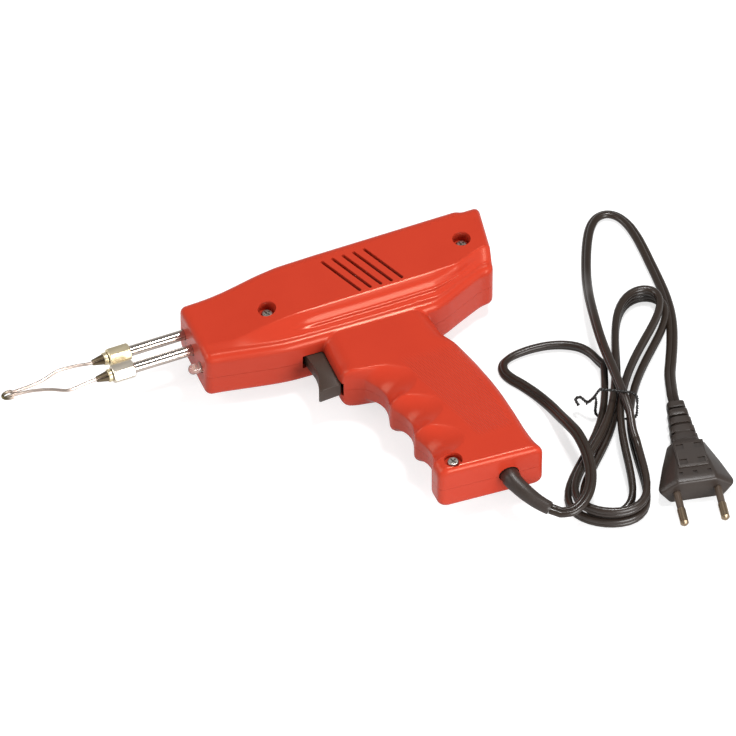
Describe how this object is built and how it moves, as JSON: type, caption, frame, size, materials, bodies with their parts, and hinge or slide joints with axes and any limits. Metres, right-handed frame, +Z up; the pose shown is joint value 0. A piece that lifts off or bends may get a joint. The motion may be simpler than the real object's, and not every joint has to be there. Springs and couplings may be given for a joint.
{
  "type": "instant_heat_soldering_gun",
  "caption": "Pistol-shaped instant-heat soldering gun with an orange-red moulded housing, twin tubes holding a bent wire tip, and a flat mains cord tied in a hank with a two-pin plug",
  "frame": {"origin": "on the flat resting panel of the right side, under the barrel axis, 80 mm behind the nose face", "axes": "+X from the heating tip towards the rear of the barrel, +Y from the grip's foot towards the top of the gun, +Z up from the surface that the tool lies on, out of its left side"},
  "size_m": [0.3164, 0.1931, 0.0404],
  "materials": {
    "red_shell": "injection-moulded orange-red plastic with a soft sheen",
    "zinc_steel": "zinc-plated steel",
    "nickel": "bright nickel plating on copper tube",
    "cream_nickel": "machined brass with pale nickel plating",
    "dark_bronze": "heat-darkened brass",
    "tinned_wire": "tinned copper wire, tarnished towards its loop",
    "phenolic_board": "pressed phenolic board",
    "lamp_glass": "clear moulded lamp lens with a pinkish tint",
    "socket_brass": "pressed brass",
    "core_steel": "varnished silicon-steel laminations",
    "former_plastic": "moulded nylon former",
    "winding_copper": "enamelled copper wire",
    "strap_copper": "bare copper strap",
    "brown_plastic": "dark brown moulded plastic",
    "black_plastic": "black moulded plastic",
    "button_red": "red acetal button",
    "lead_brown": "brown PVC insulation",
    "lead_blue": "blue PVC insulation",
    "cord_pvc": "brown-black PVC",
    "tie_black": "black plastic-coated wire",
    "pin_brass": "bare turned brass"
  },
  "bodies": {
    "gun": {"left_shell": "red_shell", "right_shell": "red_shell", "housing_screws": "zinc_steel", "tube_upper": "nickel", "tube_lower": "nickel", "collet_upper": "dark_bronze", "collet_lower": "dark_bronze", "tip_wire": "tinned_wire", "nose_insulator": "phenolic_board", "lamp_lens": "lamp_glass", "lamp_socket": "socket_brass", "core_stack": "core_steel", "coil_bobbin": "former_plastic", "primary_winding": "winding_copper", "secondary_bar": "strap_copper", "trigger_pin": "zinc_steel", "switch_body": "black_plastic", "switch_lead": "lead_brown", "coil_lead": "lead_blue", "inner_cord": "cord_pvc", "cord_clamp": "black_plastic", "clamp_screws": "zinc_steel", "strain_relief": "cord_pvc", "cord_lead": "cord_pvc", "cord_hank": "cord_pvc", "cord_tail": "cord_pvc", "cord_tie": "tie_black", "plug_body": "cord_pvc", "pin_sleeves": "black_plastic", "plug_pins": "pin_brass"},
    "pull": {"trigger": "brown_plastic", "trigger_spring": "zinc_steel"},
    "button": {"switch_plunger": "button_red"},
    "upper_nut": {"nut_upper": "cream_nickel"},
    "lower_nut": {"nut_lower": "cream_nickel"}
  },
  "joints": [
    {"name": "trigger_pull", "type": "hinge", "parent": "gun", "child": "pull", "pos_m": [-0.03, -0.024, 0.02], "axis": [0, 0, 1], "range_deg": [0, 9], "stiffness_Nm_per_rad": 0.25, "springref_deg": -20.05},
    {"name": "plunger_press", "type": "slide", "parent": "gun", "child": "button", "axis": [-1, 0, 0], "range_m": [0, 0.0011]},
    {"name": "nut_upper_turn", "type": "hinge", "parent": "gun", "child": "upper_nut", "pos_m": [-0.11225, 0.005, 0.02], "axis": [1, 0, 0], "continuous": true},
    {"name": "nut_lower_turn", "type": "hinge", "parent": "gun", "child": "lower_nut", "pos_m": [-0.11405, -0.005, 0.02], "axis": [1, 0, 0], "continuous": true}
  ],
  "couplings": [
    {"joint": "plunger_press", "follows": "trigger_pull", "m_per_rad": 0.007}
  ]
}
